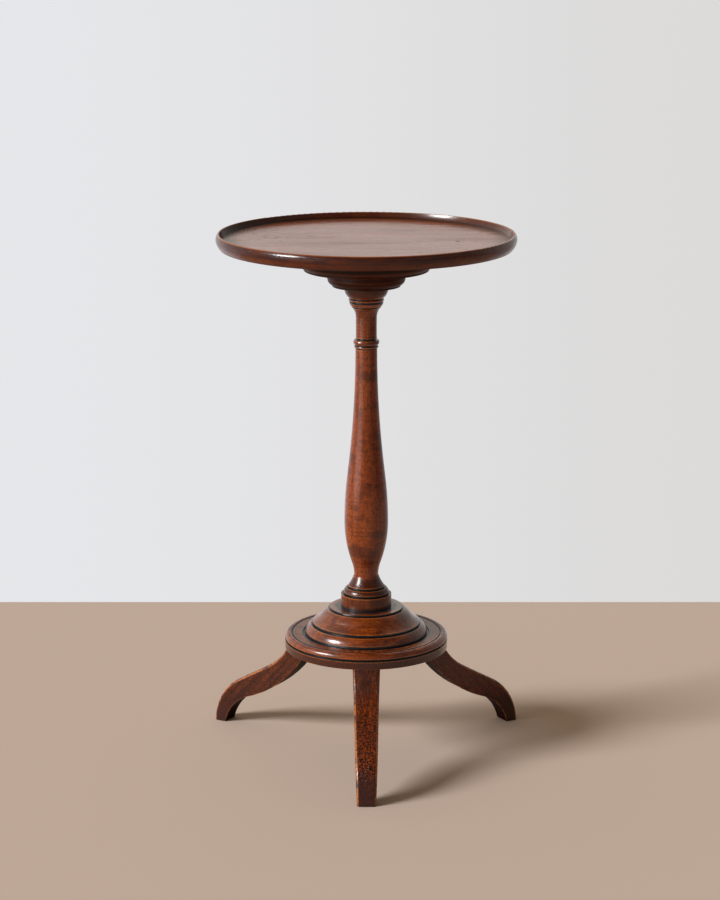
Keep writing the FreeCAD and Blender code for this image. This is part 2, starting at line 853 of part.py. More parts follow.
def make_leg(label):
    """Leg turned about the column's axis, so that its root is flush with the plate's round edge."""
    body = new_body(label, angle=leg_angle(label))
    sketch = draw(body, "side_outline", [leg_outline()])
    blank = body.newObject("PartDesign::Revolution", "blank")
    blank.Profile = sketch
    blank.ReferenceAxis = (sketch, ["V_Axis"])
    blank.Midplane = True
    inner_root = size.plate_radius - size.leg_root_depth
    blank.setExpression("Angle", (arc_tangent(size.leg_root_width / inner_root) * 2).text)
    doc.recompute()
    sides = sawn(body, "sides", [leg_off_cut(1), leg_off_cut(-1)], "YZ_Plane")
    doc.recompute()
    outer_edges = edges_along(sides.Shape, [outer_leg_points()])
    outer = softened(body, "outer_arris", sides, outer_edges, size.leg_outer_arris)
    inner_edges = edges_along(outer.Shape, [inner_leg_points()])
    inner = softened(body, "inner_arris", outer, inner_edges, size.leg_inner_arris)
    softened(body, "foot_arris", inner, floor_edges(inner.Shape), size.leg_foot_arris)
    for name, aside in dowel_places():
        depth = size.dowel_in_leg + size.dowel_end_gap
        socket = dowel_socket(size.leg_height - depth, size.leg_height + size.overrun)
        bored(body, name + "_socket", socket, shift=dowel_circle(), aside=aside)
    return body


# Dowels

def dowel_circle():
    return size.plate_radius - size.dowel_inset


def dowel_places():
    """The two dowels of a leg and their distances from the leg's middle."""
    return [("left_dowel", size.dowel_spacing / 2), ("right_dowel", -size.dowel_spacing / 2)]


def dowel_socket(low, high):
    radius = size.dowel_radius + size.dowel_clearance
    outline = Outline(0, low)
    outline.line(radius, low)
    outline.line(radius, high)
    outline.line(0, high)
    return outline


def make_dowels(leg_label):
    body = new_body(leg_label + "_dowels", size.leg_height, leg_angle(leg_label))
    body.AllowCompound = True
    outline = Outline(0, -size.dowel_in_leg)
    outline.line(size.dowel_radius, -size.dowel_in_leg)
    outline.line(size.dowel_radius, size.dowel_in_plate)
    outline.line(0, size.dowel_in_plate)
    for name, aside in dowel_places():
        turned(body, name, outline, shift=dowel_circle(), aside=aside)
    return body


# Screws

def screw_outline(through, length):
    """Countersunk head, plain shank through the first piece, then the threaded end."""
    outline = Outline(0, 0)
    outline.line(size.screw_head_radius, 0)
    outline.line(size.screw_shank_radius, size.screw_head_height)
    outline.line(size.screw_shank_radius, through)
    outline.line(size.screw_thread_radius, through)
    outline.line(size.screw_thread_radius, length - size.screw_point_length)
    outline.line(size.screw_point_radius, length)
    outline.line(0, length)
    return outline


def screw_hole_outline(through):
    """Clearance hole and countersink in the piece under the screw's head."""
    head = size.screw_head_radius + size.screw_clearance
    shank = size.screw_shank_radius + size.screw_clearance
    outline = Outline(0, -size.overrun)
    outline.line(head, -size.overrun)
    outline.line(head, 0)
    outline.line(shank, size.screw_head_height)
    outline.line(shank, through + size.overrun)
    outline.line(0, through + size.overrun)
    return outline


def pilot_outline(bite):
    """Blind hole that takes the threaded end."""
    thread = size.screw_thread_radius + size.screw_clearance
    point = size.screw_point_radius + size.screw_clearance
    outline = Outline(0, -size.overrun)
    outline.line(thread, -size.overrun)
    outline.line(thread, bite - size.screw_point_length)
    outline.line(point, bite + size.screw_clearance)
    outline.line(0, bite + size.screw_clearance)
    return outline


def slot_outline(circle):
    half_width = size.screw_slot_width / 2
    inside = circle - size.screw_head_radius
    outside = circle + size.screw_head_radius
    outline = Outline(inside, -half_width)
    outline.line(outside, -half_width)
    outline.line(outside, half_width)
    outline.line(inside, half_width)
    return outline


def make_screws(label, seat, angle, circle, through, length, count):
    body = new_body(label, seat, angle)
    body.AllowCompound = True
    screw = turned(body, "screw", screw_outline(through, length), shift=circle)
    slot = body.newObject("PartDesign::Pocket", "slot")
    slot.Profile = draw(body, "slot_outline", [slot_outline(circle)], role="XY_Plane")
    slot.Reversed = True
    slot.setExpression("Length", size.screw_slot_depth.text)
    ring_of(body, "screws", [screw, slot], count)
    return body


# Assembly, from the floor up

collar_seat = column_seat + column_length()
boss_plate_seat = collar_seat + size.collar_thickness
top_seat = boss_plate_seat + size.boss_plate_thickness

sub_parts = []
for leg_label in LEG_LABELS:
    sub_parts.append(make_leg(leg_label))
    sub_parts.append(make_dowels(leg_label))
sub_parts.append(make_base_plate(plate_seat))
sub_parts.append(make_base_dome(dome_seat))
sub_parts.append(make_screws("dome_screws", plate_seat, FIRST_DOME_SCREW_ANGLE, size.dome_screw_circle,
                             size.plate_thickness, size.dome_screw_length, DOME_SCREW_COUNT))
sub_parts.append(make_column(column_seat))
sub_parts.append(make_wedge("lower_wedge", plate_seat, size.lower_spigot_radius, True))
sub_parts.append(make_wedge("upper_wedge", top_seat - size.spigot_end_gap, size.upper_spigot_radius, False))
sub_parts.append(make_boss_collar(collar_seat))
sub_parts.append(make_boss_plate(boss_plate_seat))
sub_parts.append(make_screws("boss_screws", boss_plate_seat, FIRST_BOSS_SCREW_ANGLE, size.boss_screw_circle,
                             size.boss_plate_thickness, size.boss_screw_length, BOSS_SCREW_COUNT))
sub_parts.append(make_table_top(top_seat))
doc.recompute()

for item in doc.Objects:
    if "Invalid" in item.State or "Error" in item.State:
        raise RuntimeError(item.Label + " failed: " + str(item.State))
for sub_part in sub_parts:
    if sub_part.Shape.isNull() or not sub_part.Shape.isValid():
        raise RuntimeError(sub_part.Label + " has no valid shape")

os.makedirs("parts", exist_ok=True)
for sub_part in sub_parts:
    sub_part.Shape.exportStep("parts/" + sub_part.Label + ".step")
    print(sub_part.Label, len(sub_part.Shape.Solids), round(sub_part.Shape.Volume, 1))
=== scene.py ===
import itertools
import json
import math
import bpy
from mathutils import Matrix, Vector


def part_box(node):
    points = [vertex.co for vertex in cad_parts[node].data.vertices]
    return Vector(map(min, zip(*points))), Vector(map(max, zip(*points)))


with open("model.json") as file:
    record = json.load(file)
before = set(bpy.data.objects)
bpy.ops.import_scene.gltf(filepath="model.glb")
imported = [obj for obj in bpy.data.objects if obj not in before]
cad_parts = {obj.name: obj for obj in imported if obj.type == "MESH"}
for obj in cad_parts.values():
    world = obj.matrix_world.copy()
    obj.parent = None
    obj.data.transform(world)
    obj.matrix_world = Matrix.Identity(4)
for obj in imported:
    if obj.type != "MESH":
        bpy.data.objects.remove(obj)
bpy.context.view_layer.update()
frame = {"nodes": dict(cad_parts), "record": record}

# A polished mahogany table: finishes for its pieces, a plain floor, a lamp like a far window and a camera.
# Lengths are in metres, angles in degrees, and colours are linear.

MM = 0.001
UP = (0, 0, 1)
RIGHT = (1, 0, 0)
LEFT = (-1, 0, 0)
BACK = (0, 1, 0)

# Camera: as far away, as high and as tilted as the ellipses of the top and the base show.
# Its lens is in millimetres.
CAMERA_PLACE = (-0.0086, -3.651, 1.285)
CAMERA_TILT = 13.235
CAMERA_LENS = 109.48

# Stage: the floor, the backdrop that the camera sees and that polish mirrors, the colour of the fill light
FLOOR_HALF_WIDTH = 2.4
FLOOR_FRONT = -7.0
FLOOR_BACK = 0.711
FLOOR_COLOUR = (0.475, 0.385, 0.33, 1)
BACKDROP_LEFT = (0.79, 0.795, 0.815, 1)
BACKDROP_RIGHT = (0.715, 0.705, 0.70, 1)
BACKDROP_HIGH = (0.81, 0.77, 0.705, 1)
FILL_COLOUR = (1.0, 0.81, 0.61, 1)

# How strong the fill light is: all round, behind the table, on its left, on its right, a little above level
FILL_ROUND = 0.04
FILL_BEHIND = 0.7
FILL_LEFT = 0.37
FILL_RIGHT = 0.08
FILL_LEVEL = 0.21

# Lamps face a point about half way up the table, and their bearings are to the left of the camera.
# The window's strength is in watts per square metre, and the screen's power in watts.
LAMP_TARGET = Vector((0, 0, 0.4))
WINDOW_BEARING = 68
WINDOW_ELEVATION = 28.5
WINDOW_DISTANCE = 5.0
WINDOW_ANGLE = 20
WINDOW_STRENGTH = 4.4
SCREEN_BEARING = 56
SCREEN_ELEVATION = 0
SCREEN_DISTANCE = 4.0
SCREEN_WIDTH = 2.8
SCREEN_HEIGHT = 1.4
SCREEN_POWER = 24.0

# Colours of the polished wood, from its pores to its worn edges, then of the legs
PORE = (0.010, 0.003, 0.0016, 1)
BLACK = (0.0045, 0.005, 0.0065, 1)
PURPLE = (0.030, 0.0080, 0.0062, 1)
DARK = (0.042, 0.0070, 0.0016, 1)
MIDDLE = (0.155, 0.0270, 0.0034, 1)
RED = (0.34, 0.060, 0.0070, 1)
LIGHT = (0.37, 0.084, 0.0100, 1)
WORN = (0.54, 0.155, 0.023, 1)
LEG_DARK = (0.030, 0.0058, 0.0026, 1)
LEG_MIDDLE = (0.118, 0.0190, 0.0036, 1)
LEG_LIGHT = (0.24, 0.050, 0.0085, 1)

# Colours of the hidden wood and of the screws
BARE_DARK = (0.2, 0.11, 0.05, 1)
BARE_MIDDLE = (0.34, 0.2, 0.1, 1)
BARE_LIGHT = (0.45, 0.29, 0.15, 1)
STEEL = (0.22, 0.2, 0.18, 1)
RUST = (0.07, 0.04, 0.025, 1)

# Varnish: how it bends light, its coat on each kind of piece, and how deep the grain shows through it
VARNISH_IOR = 1.33
TOP_COAT = 0.2
COLUMN_COAT = 0.3
BOSS_COAT = 0.05
BASE_COAT = 0.6
LEG_COAT = 0.3
GRAIN_DEPTH = 0.05 * MM
LEG_GRAIN_DEPTH = 0.08 * MM

# Wear, dirt and painted shade: how far the dirt and painted shade in corners reach out of them, and the
# roundness up to which an edge wears
TOP_DIRT_AND_SHADE = 5 * MM
TURNING_DIRT_AND_SHADE = 13 * MM
LEG_DIRT_AND_SHADE = 14 * MM
WEAR_RADIUS = 1.2 * MM

# Levels on the column, up from the dome's ledge and down from the collar's underside
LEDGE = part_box("base_dome")[1].z
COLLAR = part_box("boss_collar")[0].z
DRUM_TOP = LEDGE + 18 * MM
BELL_FOOT = LEDGE + 20 * MM
BELL_TOP = LEDGE + 40 * MM
SHAFT_FOOT = LEDGE + 45 * MM
NECKING = (COLLAR - 86 * MM, COLLAR - 72 * MM)
NECK_TOP = COLLAR - 32 * MM
CAPITAL_BEADS = (COLLAR - 30 * MM, COLLAR - 16 * MM)
CUP = (COLLAR - 18 * MM, COLLAR - 12 * MM)
BEAD_BLUR = 2 * MM
NECK_BLUR = 4 * MM
SHAFT_BLUR = 6 * MM

# The base: top of the plate's plain fascia, place of the crack in its edge, dirt round the column's drum
FASCIA_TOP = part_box("base_plate")[0].z + 11.5 * MM
FASCIA_BLUR = 1 * MM
SPECKS_TOP = (FASCIA_TOP, FASCIA_TOP - 1.5 * MM)
CRACK_X = -98.6 * MM
CRACK_HALF_WIDTH = 0.2 * MM
CRACK_BLUR = 0.3 * MM
CRACK_WANDER = 1.2 * MM
CRACK_BACK = -10 * MM
DRUM_RADIUS = 34.9 * MM
DIRT_HEIGHT = 9 * MM
DIRT_SPREAD = 16 * MM
DIRT_BLUR = 3 * MM
DIRT_FOOT = (LEDGE + 1 * MM, LEDGE - 3 * MM)
LEDGE_FACE = (LEDGE - 1.5 * MM, LEDGE - 0.5 * MM)

# Grooves of the turnings: the widest and the shallowest that count as one, and how even its floor is
GROOVE_WIDTH = 2.0 * MM
GROOVE_DEPTH = 0.8 * MM
GROOVE_ERROR = 0.05 * MM

# How far the black spreads round each groove, from the lowest up, in millimetres
STAINS = {"column": (0.9, 0.7, 0.0, 0.45, 0.8, 0.3, 0.9, 0.25),
          "base_dome": (1.3, 1.0),
          "base_plate": (0.9,)}
SEAT_STAIN = 2.2
RING_STAIN = 1.3
STAIN_RAGGED = 1.0 * MM
STAIN_BLUR = 0.45 * MM
STAIN_BORDER = (0.7 * MM, 1.0 * MM)
STAIN_BORDER_BLUR = 0.4 * MM

# How strongly the turner's lines show on each turning, and how red and dark the plain ones are
BOSS = ("boss_plate", "boss_collar")
BASE = ("base_dome", "base_plate")
TURNED_LINES = {"column": 0.5, "boss_plate": 0.85, "boss_collar": 0.85,
                "base_dome": 0.5, "base_plate": 0.5}
RED_SHARE = {"boss_plate": 0.0, "boss_collar": 0.0, "base_dome": 0.2}
DARK_SHARE = {"boss_plate": 0.85, "boss_collar": 0.97, "base_dome": 0.1}

# The top: levels down from its lip, distances from the wall of its dish, places to the right of the axis
RIM_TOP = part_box("table_top")[1].z
RIM_BAND = (RIM_TOP - 10 * MM, RIM_TOP - 2 * MM)
RIM_BLUR = 3 * MM
LIP = (RIM_TOP - 1.6 * MM, RIM_TOP - 0.4 * MM)
DISH_FLAT = next(mount["pos_m"][2] for mount in frame["record"]["mounts"]
                 if mount["name"] == "table_surface")
DISH_BORDER = (30 * MM, 4 * MM)
DISH_BLUR = 0.5 * MM
WALL_FOOT_IN = 0.4 * MM
WALL_FOOT_OUT = 0.6 * MM
# From where to where the rim's outer face is painted lighter towards the right, as painted light from the
# right
PAINTED_LIGHT_RIGHT = (50 * MM, 170 * MM)
GREY_END = (-100 * MM, -170 * MM)
VEINS_PLACE = (-112 * MM, 28 * MM, DISH_FLAT)
VEINS_REACH = (60 * MM, 25 * MM)
SPOT_PLACE = (122 * MM, -22 * MM, DISH_FLAT)
SPOT_REACH = (4 * MM, 1.5 * MM)

# The legs: how far each goes out and down, and the levels at which its finish changes
LEG_OUT = 0.67
LEG_DOWN = 0.74
KNEE = (45 * MM, 100 * MM)
KNEE_BLUR = 30 * MM
ROOT = (95 * MM, 140 * MM)
FOOT = (62 * MM, 30 * MM)
LEVEL_RAGGED = 30 * MM

# How much a face looks up or down, from where it starts to count to where it counts in full
LOOKS_UP = (0.8, 0.95)
LOOKS_DOWN = (-0.8, -0.95)


# Shader values as Python expressions

class Value:
    """A socket of a finish; arithmetic on it adds Math nodes."""

    def __init__(self, finish, socket):
        self.finish = finish
        self.socket = socket

    def __add__(self, other):
        return self.finish.maths("ADD", self, other)

    def __radd__(self, other):
        return self.finish.maths("ADD", other, self)

    def __sub__(self, other):
        return self.finish.maths("SUBTRACT", self, other)

    def __rsub__(self, other):
        return self.finish.maths("SUBTRACT", other, self)

    def __mul__(self, other):
        return self.finish.maths("MULTIPLY", self, other)

    def __rmul__(self, other):
        return self.finish.maths("MULTIPLY", other, self)

    def __pow__(self, other):
        return self.finish.maths("POWER", self, other)

    def __abs__(self):
        return self.finish.maths("ABSOLUTE", self)


class Finish:
    """A node tree under construction."""

    def __init__(self, tree):
        self.tree = tree
        tree.nodes.clear()

    def node(self, kind, settings=None, inputs=None, output=0):
        """Adds a node, gives it its settings and then its inputs, and returns an output if one is named."""
        node = self.tree.nodes.new(kind)
        for key, setting in (settings or {}).items():
            setattr(node, key, setting)
        for key, value in (inputs or {}).items():
            if isinstance(value, Value):
                self.tree.links.new(value.socket, node.inputs[key])
            else:
                node.inputs[key].default_value = value
        return None if output is None else Value(self, node.outputs[output])

    def maths(self, operation, *numbers):
        return self.node("ShaderNodeMath", {"operation": operation}, dict(enumerate(numbers)))

    def vector(self, operation, *vectors, output="Vector"):
        sockets = dict(enumerate(vectors))
        return self.node("ShaderNodeVectorMath", {"operation": operation}, sockets, output)

    def most(self, first, second):
        return self.maths("MAXIMUM", first, second)

    def least(self, first, second):
        return self.maths("MINIMUM", first, second)

    def step(self, value, low, high):
        """Smooth rise from 0 to 1 as a value goes from low to high, or a fall if low is above high."""
        rise = {"Value": value, "From Min": min(low, high), "From Max": max(low, high)}
        if low > high:
            rise.update({"To Min": 1.0, "To Max": 0.0})
        return self.node("ShaderNodeMapRange", {"interpolation_type": "SMOOTHSTEP"}, rise)

    def band(self, value, low, high, blur):
        """1 between two limits, falling to 0 over a blur outside them."""
        return self.step(value, low - blur, low) * self.step(value, high + blur, high)

    def mix(self, share, first, second):
        """Colour that goes from the first to the second."""
        return self.node("ShaderNodeMix", {"data_type": "RGBA"}, {0: share, 6: first, 7: second}, 2)

    def layers(self, colour, *coats):
        """Colour with coats laid over it: each has a mask, how well it covers there, and its paint."""
        for mask, share, paint in coats:
            colour = self.mix(mask * share, colour, paint)
        return colour

    def place(self):
        """The point being shaded, in the frame of the table."""
        return self.node("ShaderNodeTexCoord", output="Object")

    def facing(self):
        """The surface's outward direction."""
        return self.node("ShaderNodeNewGeometry", output="Normal")

    def part(self, vector, direction):
        """How far a vector reaches along a direction."""
        return self.vector("DOT_PRODUCT", vector, direction, output="Value")

    def joined(self, x, y, z):
        return self.node("ShaderNodeCombineXYZ", None, {"X": x, "Y": y, "Z": z})

    def scaled(self, vector, factors):
        return self.vector("MULTIPLY", vector, factors)

    def noise(self, vector, scale, detail=2.0, distortion=0.0):
        sockets = {"Vector": vector, "Scale": scale, "Detail": detail, "Distortion": distortion}
        return self.node("ShaderNodeTexNoise", None, sockets)

    def blotches(self, vector, scale, detail, low, high):
        """Noise that is nothing below one level and full above another."""
        return self.step(self.noise(vector, scale, detail), low, high)

    def wander(self, vector, scale, detail, reach):
        """Noise that strays to both sides of 0, over a reach."""
        return (self.noise(vector, scale, detail) - 0.5) * reach

    def specks(self, vector, scale, size, share):
        """Round specks, in a share of the cells of a random pattern."""
        sockets = {"Vector": vector, "Scale": scale}
        distance = self.node("ShaderNodeTexVoronoi", None, sockets, "Distance")
        colour = self.node("ShaderNodeTexVoronoi", None, sockets, "Color")
        chance = self.node("ShaderNodeSeparateColor", None, {"Color": colour}, "Red")
        return self.step(distance, size, size * 0.5) * self.step(chance, share, share - 0.05)

    def edges(self, radius):
        """1 along edges sharper than a radius, 0 on smooth faces."""
        rounded = self.node("ShaderNodeBevel", {"samples": 6}, {"Radius": radius})
        return 1 - self.part(rounded, self.facing())

    def openness(self, distance):
        """1 in the open, 0 in a tight corner."""
        return self.node("ShaderNodeAmbientOcclusion", {"samples": 8}, {"Distance": distance}, "AO")

    def surface(self, shader):
        self.node("ShaderNodeOutputMaterial", None, {"Surface": shader}, None)


def new_finish(name):
    material = bpy.data.materials.new(name)
    material.use_nodes = True
    return material, Finish(material.node_tree)


def polish(finish, colour, roughness, relief, depth, coat, matt=None, blur=0.12):
    """Closes a finish: wood and its relief under a blurred coat of varnish, bare where it is matt."""
    bump = finish.node("ShaderNodeBump", None, {"Height": relief, "Distance": depth, "Strength": 1.0})
    varnish = {"Base Color": colour, "Roughness": roughness, "Normal": bump,
               "IOR": VARNISH_IOR, "Coat Weight": coat, "Coat Roughness": blur}
    shader = finish.node("ShaderNodeBsdfPrincipled", None, varnish)
    if matt is not None:
        bare = {"Base Color": colour, "Roughness": 1.0, "Specular IOR Level": 0.0, "Normal": bump}
        bare_shader = finish.node("ShaderNodeBsdfPrincipled", None, bare)
        shader = finish.node("ShaderNodeMixShader", None, {0: matt, 1: shader, 2: bare_shader})
    finish.surface(shader)


# Wood

class Wood:
    """Grain of one plank: clouds, streaks, fibres and pores along its own directions."""

    def __init__(self, finish, along, across, aside, seed):
        self.finish = finish
        self.place = finish.place()
        self.space = finish.joined(finish.part(self.place, across) + seed, finish.part(self.place, aside),
                                   finish.part(self.place, along))
        self.clouds = self.marks(15, 2.5, 0.34, 0.66, detail=3.0)
        self.streaks = self.marks(150, 16, 0.36, 0.66, detail=3.0, distortion=0.3)
        self.fibres = self.marks(900, 30, 0.35, 0.65)
        self.pores = self.marks(1300, 14, 0.62, 0.72, detail=1.0)

    def marks(self, scale, stretch, low, high, detail=2.0, distortion=0.0):
        """Blotches that are drawn out along the plank by a factor."""
        drawn = self.finish.scaled(self.space, (1.0, 1.0, 1.0 / stretch))
        return self.finish.step(self.finish.noise(drawn, scale, detail, distortion), low, high)

    def colour(self, dark, middle, light, streaks=0.6):
        return self.finish.layers(middle, (self.clouds, 0.7, dark), (self.streaks, streaks, light),
                                  (self.fibres, 0.3, dark), (self.pores, 0.7, PORE))

    def relief(self):
        return self.fibres * 0.25 - self.pores


# What the frame says about the turnings

def points_of(node):
    """Height and distance from the axis of each point of a node."""
    places = [vertex.co for vertex in frame["nodes"][node].data.vertices]
    return [(place.z, math.hypot(place.x, place.y)) for place in places]


def side_grooves(node):
    """Narrow grooves round the side of a turning: least and greatest radius, lowest and highest level."""
    levels = {}
    for height, radius in points_of(node):
        low, high = levels.get(round(height, 5), (radius, radius))
        levels[round(height, 5)] = (min(low, radius), max(high, radius))
    found = []
    for low, high in itertools.combinations(sorted(levels), 2):
        floor = levels[low][0]
        even = abs(levels[high][0] - floor) < GROOVE_ERROR
        shoulder = min(levels[low][1], levels[high][1])
        if even and high - low < GROOVE_WIDTH and shoulder - floor > GROOVE_DEPTH:
            found.append((floor, (levels[low][1] + levels[high][1]) / 2, low, high))
    return found


def top_grooves():
    """Grooves in the base plate's upper face: least and greatest radius, lowest and highest level."""
    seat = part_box("base_dome")[0].z
    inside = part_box("base_dome")[1].x - GROOVE_DEPTH
    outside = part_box("base_plate")[1].x - 2 * GROOVE_WIDTH
    floors = [(round(radius, 4), height) for height, radius in points_of("base_plate")
              if seat - GROOVE_WIDTH < height < seat - GROOVE_DEPTH and inside < radius < outside]
    edges = sorted({radius for radius, height in floors})
    floor = min(height for radius, height in floors)
    return [(inner, outer, floor, seat) for inner, outer in zip(edges[0::2], edges[1::2])]


def dish_radius():
    """Distance from the axis at which the dish's flat meets its wall."""
    return max(radius for height, radius in points_of("table_top")
               if abs(height - DISH_FLAT) < GROOVE_ERROR)


# Distances on a surface

def distance_out(finish, place):
    """Distance from the table's axis."""
    return finish.vector("LENGTH", finish.scaled(place, (1, 1, 0)), output="Value")


def distance_to(finish, place, point):
    return finish.vector("DISTANCE", place, point, output="Value")


def beyond(finish, value, low, high):
    """How far a value lies outside two limits."""
    return finish.most(abs(value - (low + high) / 2) - (high - low) / 2, 0.0)


def distance_to_stains(finish, place, node):
    """Distance to the nearest blackened groove of a turning, from where its black ends."""
    radius = distance_out(finish, place)
    height = finish.part(place, UP)
    nearest = 1.0
    grooves = list(zip(side_grooves(node), STAINS.get(node, ())))
    if node in BASE:
        grooves += list(zip(top_grooves(), (SEAT_STAIN, RING_STAIN)))
    for (inner, outer, low, high), stain in grooves:
        aside = beyond(finish, radius, inner, outer)
        away = beyond(finish, height, low, high)
        nearest = finish.least((aside * aside + away * away) ** 0.5 - stain * MM, nearest)
    return nearest


# Wear, dirt and painted shade

# Dirt and painted shade: darker where ambient occlusion finds a corner, made ragged by noise.
def corner_dirt_and_shade(finish, place, reach):
    return finish.step(finish.openness(reach) + finish.wander(place, 90, 3.0, 0.5), 0.85, 0.4)


def worn_edges(finish, place):
    patches = finish.blotches(place, 70, 3.0, 0.42, 0.62)
    return finish.step(finish.edges(WEAR_RADIUS), 0.04, 0.25) * patches


def drum_dirt(finish, place, node):
    """Dirt where the column's drum stands on the dome's ledge."""
    height = finish.part(place, UP)
    patchy = finish.noise(place, 130, 3.0)
    if node == "column":
        return finish.step(height - patchy * DIRT_HEIGHT, *DIRT_FOOT)
    if node == "base_dome":
        top = finish.step(height, *LEDGE_FACE)
        away = distance_out(finish, place) - patchy * DIRT_SPREAD
        return finish.step(away, DRUM_RADIUS + DIRT_BLUR, DRUM_RADIUS - DIRT_BLUR) * top
    return 0.0


def plate_specks(finish, place):
    """Black specks on the fascia and dirt on the ring of the base plate."""
    fascia = finish.step(finish.part(place, UP), *SPECKS_TOP)
    ring = finish.step(finish.part(finish.facing(), UP), *LOOKS_UP)
    return finish.most(finish.blotches(place, 420, 3.0, 0.54, 0.62) * fascia,
                       finish.blotches(place, 200, 4.0, 0.46, 0.62) * ring)


def plate_crack(finish, place):
    """A short upright crack across the bead and the fascia, at the front on the left."""
    across = finish.part(place, RIGHT) + finish.wander(place, 200, 2.0, CRACK_WANDER)
    line = finish.band(across, CRACK_X - CRACK_HALF_WIDTH, CRACK_X + CRACK_HALF_WIDTH, CRACK_BLUR)
    return line * finish.step(finish.part(place, BACK), 0.0, CRACK_BACK)


def dish_veins(finish, place):
    """Curved lines in a patch on the left of the dish."""
    bends = abs(finish.noise(finish.scaled(place, (1, 0.6, 1)), 32, 2.0, distortion=0.6) - 0.5)
    patch = finish.step(distance_to(finish, place, VEINS_PLACE), *VEINS_REACH)
    return finish.step(bends, 0.03, 0.006) * patch


def dish_spot(finish, place):
    """A dark spot on the right of the dish."""
    return finish.step(distance_to(finish, place, SPOT_PLACE), *SPOT_REACH)


# Finishes

def shiny_zones(finish, height, node):
    """Where the column is glossiest: the beads of its capital and the necking ring, then the shaft."""
    if node != "column":
        return 0.0
    rings = finish.most(finish.band(height, *CAPITAL_BEADS, BEAD_BLUR),
                        finish.band(height, *NECKING, BEAD_BLUR))
    return finish.most(rings, finish.band(height, SHAFT_FOOT, CAPITAL_BEADS[0], SHAFT_BLUR) * 0.35)


def red_zones(finish, height, node):
    """Where a turning is redder: the column's shaft and its capital's beads, the base plate's bead."""
    if node == "column":
        shaft = finish.band(height, BELL_TOP, NECK_TOP, SHAFT_BLUR) * 0.43
        return finish.most(shaft, finish.step(height, NECK_TOP, NECK_TOP + NECK_BLUR))
    if node == "base_plate":
        return finish.step(height, FASCIA_TOP, FASCIA_TOP + FASCIA_BLUR) * 0.35
    return RED_SHARE[node]


def dark_zones(finish, height, node):
    """Where a turning is darker: the boss all over, the column's drum and bell, its cup as dirt and painted
    shade under the collar, the fascia.
    """
    if node == "column":
        bell = finish.band(height, BELL_FOOT, BELL_TOP, SHAFT_BLUR) * 0.95
        drum = finish.step(height, BELL_FOOT, DRUM_TOP) * 0.45
        # The cup's darkening is dirt and painted shade under the collar and the top.
        return finish.most(finish.most(bell, drum), finish.step(height, *CUP) * 0.7)
    if node == "base_plate":
        return finish.step(height, FASCIA_TOP + FASCIA_BLUR, FASCIA_TOP) * 0.92
    return DARK_SHARE[node]


def dull_zones(finish, node):
    """Where a turning has lost its polish: the boss all over, the base plate's ring and underside."""
    if node in BOSS:
        return 0.4
    if node == "base_plate":
        level = finish.part(finish.facing(), UP)
        return finish.most(finish.step(level, *LOOKS_UP) * 0.35, finish.step(level, *LOOKS_DOWN) * 0.85)
    return None


def turned_finish(node, along, across, aside, seed, coat):
    """Turned mahogany with tool ripples and blackened grooves, orange where their edges are worn, black
    with dirt and painted shade in its corners.
    """
    material, finish = new_finish(node + "_polish")
    wood = Wood(finish, along, across, aside, seed)
    place = wood.place
    height = finish.part(place, UP)
    round_axis = finish.joined(distance_out(finish, place), height, seed)
    rings = finish.noise(round_axis, 330, 3.0)
    patches = finish.blotches(place, 22, 2.0, 0.4, 0.6)
    lines = finish.step(rings, 0.52, 0.68) * (0.4 + patches * 0.6)
    drawn_round = finish.scaled(place, (0.25, 0.25, 1))
    ripple = finish.blotches(drawn_round, 480, 2.0, 0.42, 0.68)
    flecks = finish.blotches(drawn_round, 1100, 1.0, 0.62, 0.72)
    grains = finish.blotches(place, 560, 3.0, 0.45, 0.62)
    slits = wood.marks(620, 3.5, 0.56, 0.66)
    figure = finish.blotches(finish.scaled(place, (0.5, 0.5, 1)), 55, 3.0, 0.48, 0.68)
    # Dirt and painted shade: black in the corners that ambient occlusion finds, plus dirt round the drum's
    # foot.
    dirt_and_shade = finish.most(corner_dirt_and_shade(finish, place, TURNING_DIRT_AND_SHADE), drum_dirt(finish, place, node))
    groove = distance_to_stains(finish, place, node) + finish.wander(place, 170, 3.0, STAIN_RAGGED)
    colour = finish.layers(wood.colour(DARK, MIDDLE, LIGHT), (red_zones(finish, height, node), 1.0, RED),
                           (figure, 0.65, DARK), (grains, 0.45, DARK), (slits, 0.6, PORE),
                           (ripple, 0.25, DARK), (lines, TURNED_LINES[node], DARK), (flecks, 0.6, PORE),
                           (dark_zones(finish, height, node), 1.0, DARK))
    if node in BOSS:
        bands = finish.noise(round_axis, 210, 2.0)
        colour = finish.layers(colour, (finish.step(bands, 0.48, 0.6), 0.8, PORE),
                               (finish.step(bands, 0.45, 0.36), 0.35, RED))
    colour = finish.layers(colour, (worn_edges(finish, place), 0.4, WORN),
                           (finish.band(groove, *STAIN_BORDER, STAIN_BORDER_BLUR), 0.4, WORN),
                           (dirt_and_shade, 0.92, BLACK), (finish.step(groove, STAIN_BLUR, 0.0), 1.0, BLACK))
    if node == "base_plate":
        colour = finish.layers(colour, (plate_specks(finish, place), 0.7, PORE),
                               (plate_crack(finish, place), 0.9, BLACK))
    roughness = (0.32 if node in BOSS else 0.22) + wood.clouds * 0.1 + dirt_and_shade * 0.2
    relief = wood.relief() + ripple * 0.3 - flecks * 0.5 + rings * 0.6
    gloss = coat + shiny_zones(finish, height, node) * 0.5
    polish(finish, colour, roughness, relief, GRAIN_DEPTH, gloss, dull_zones(finish, node), blur=0.2)
    return material


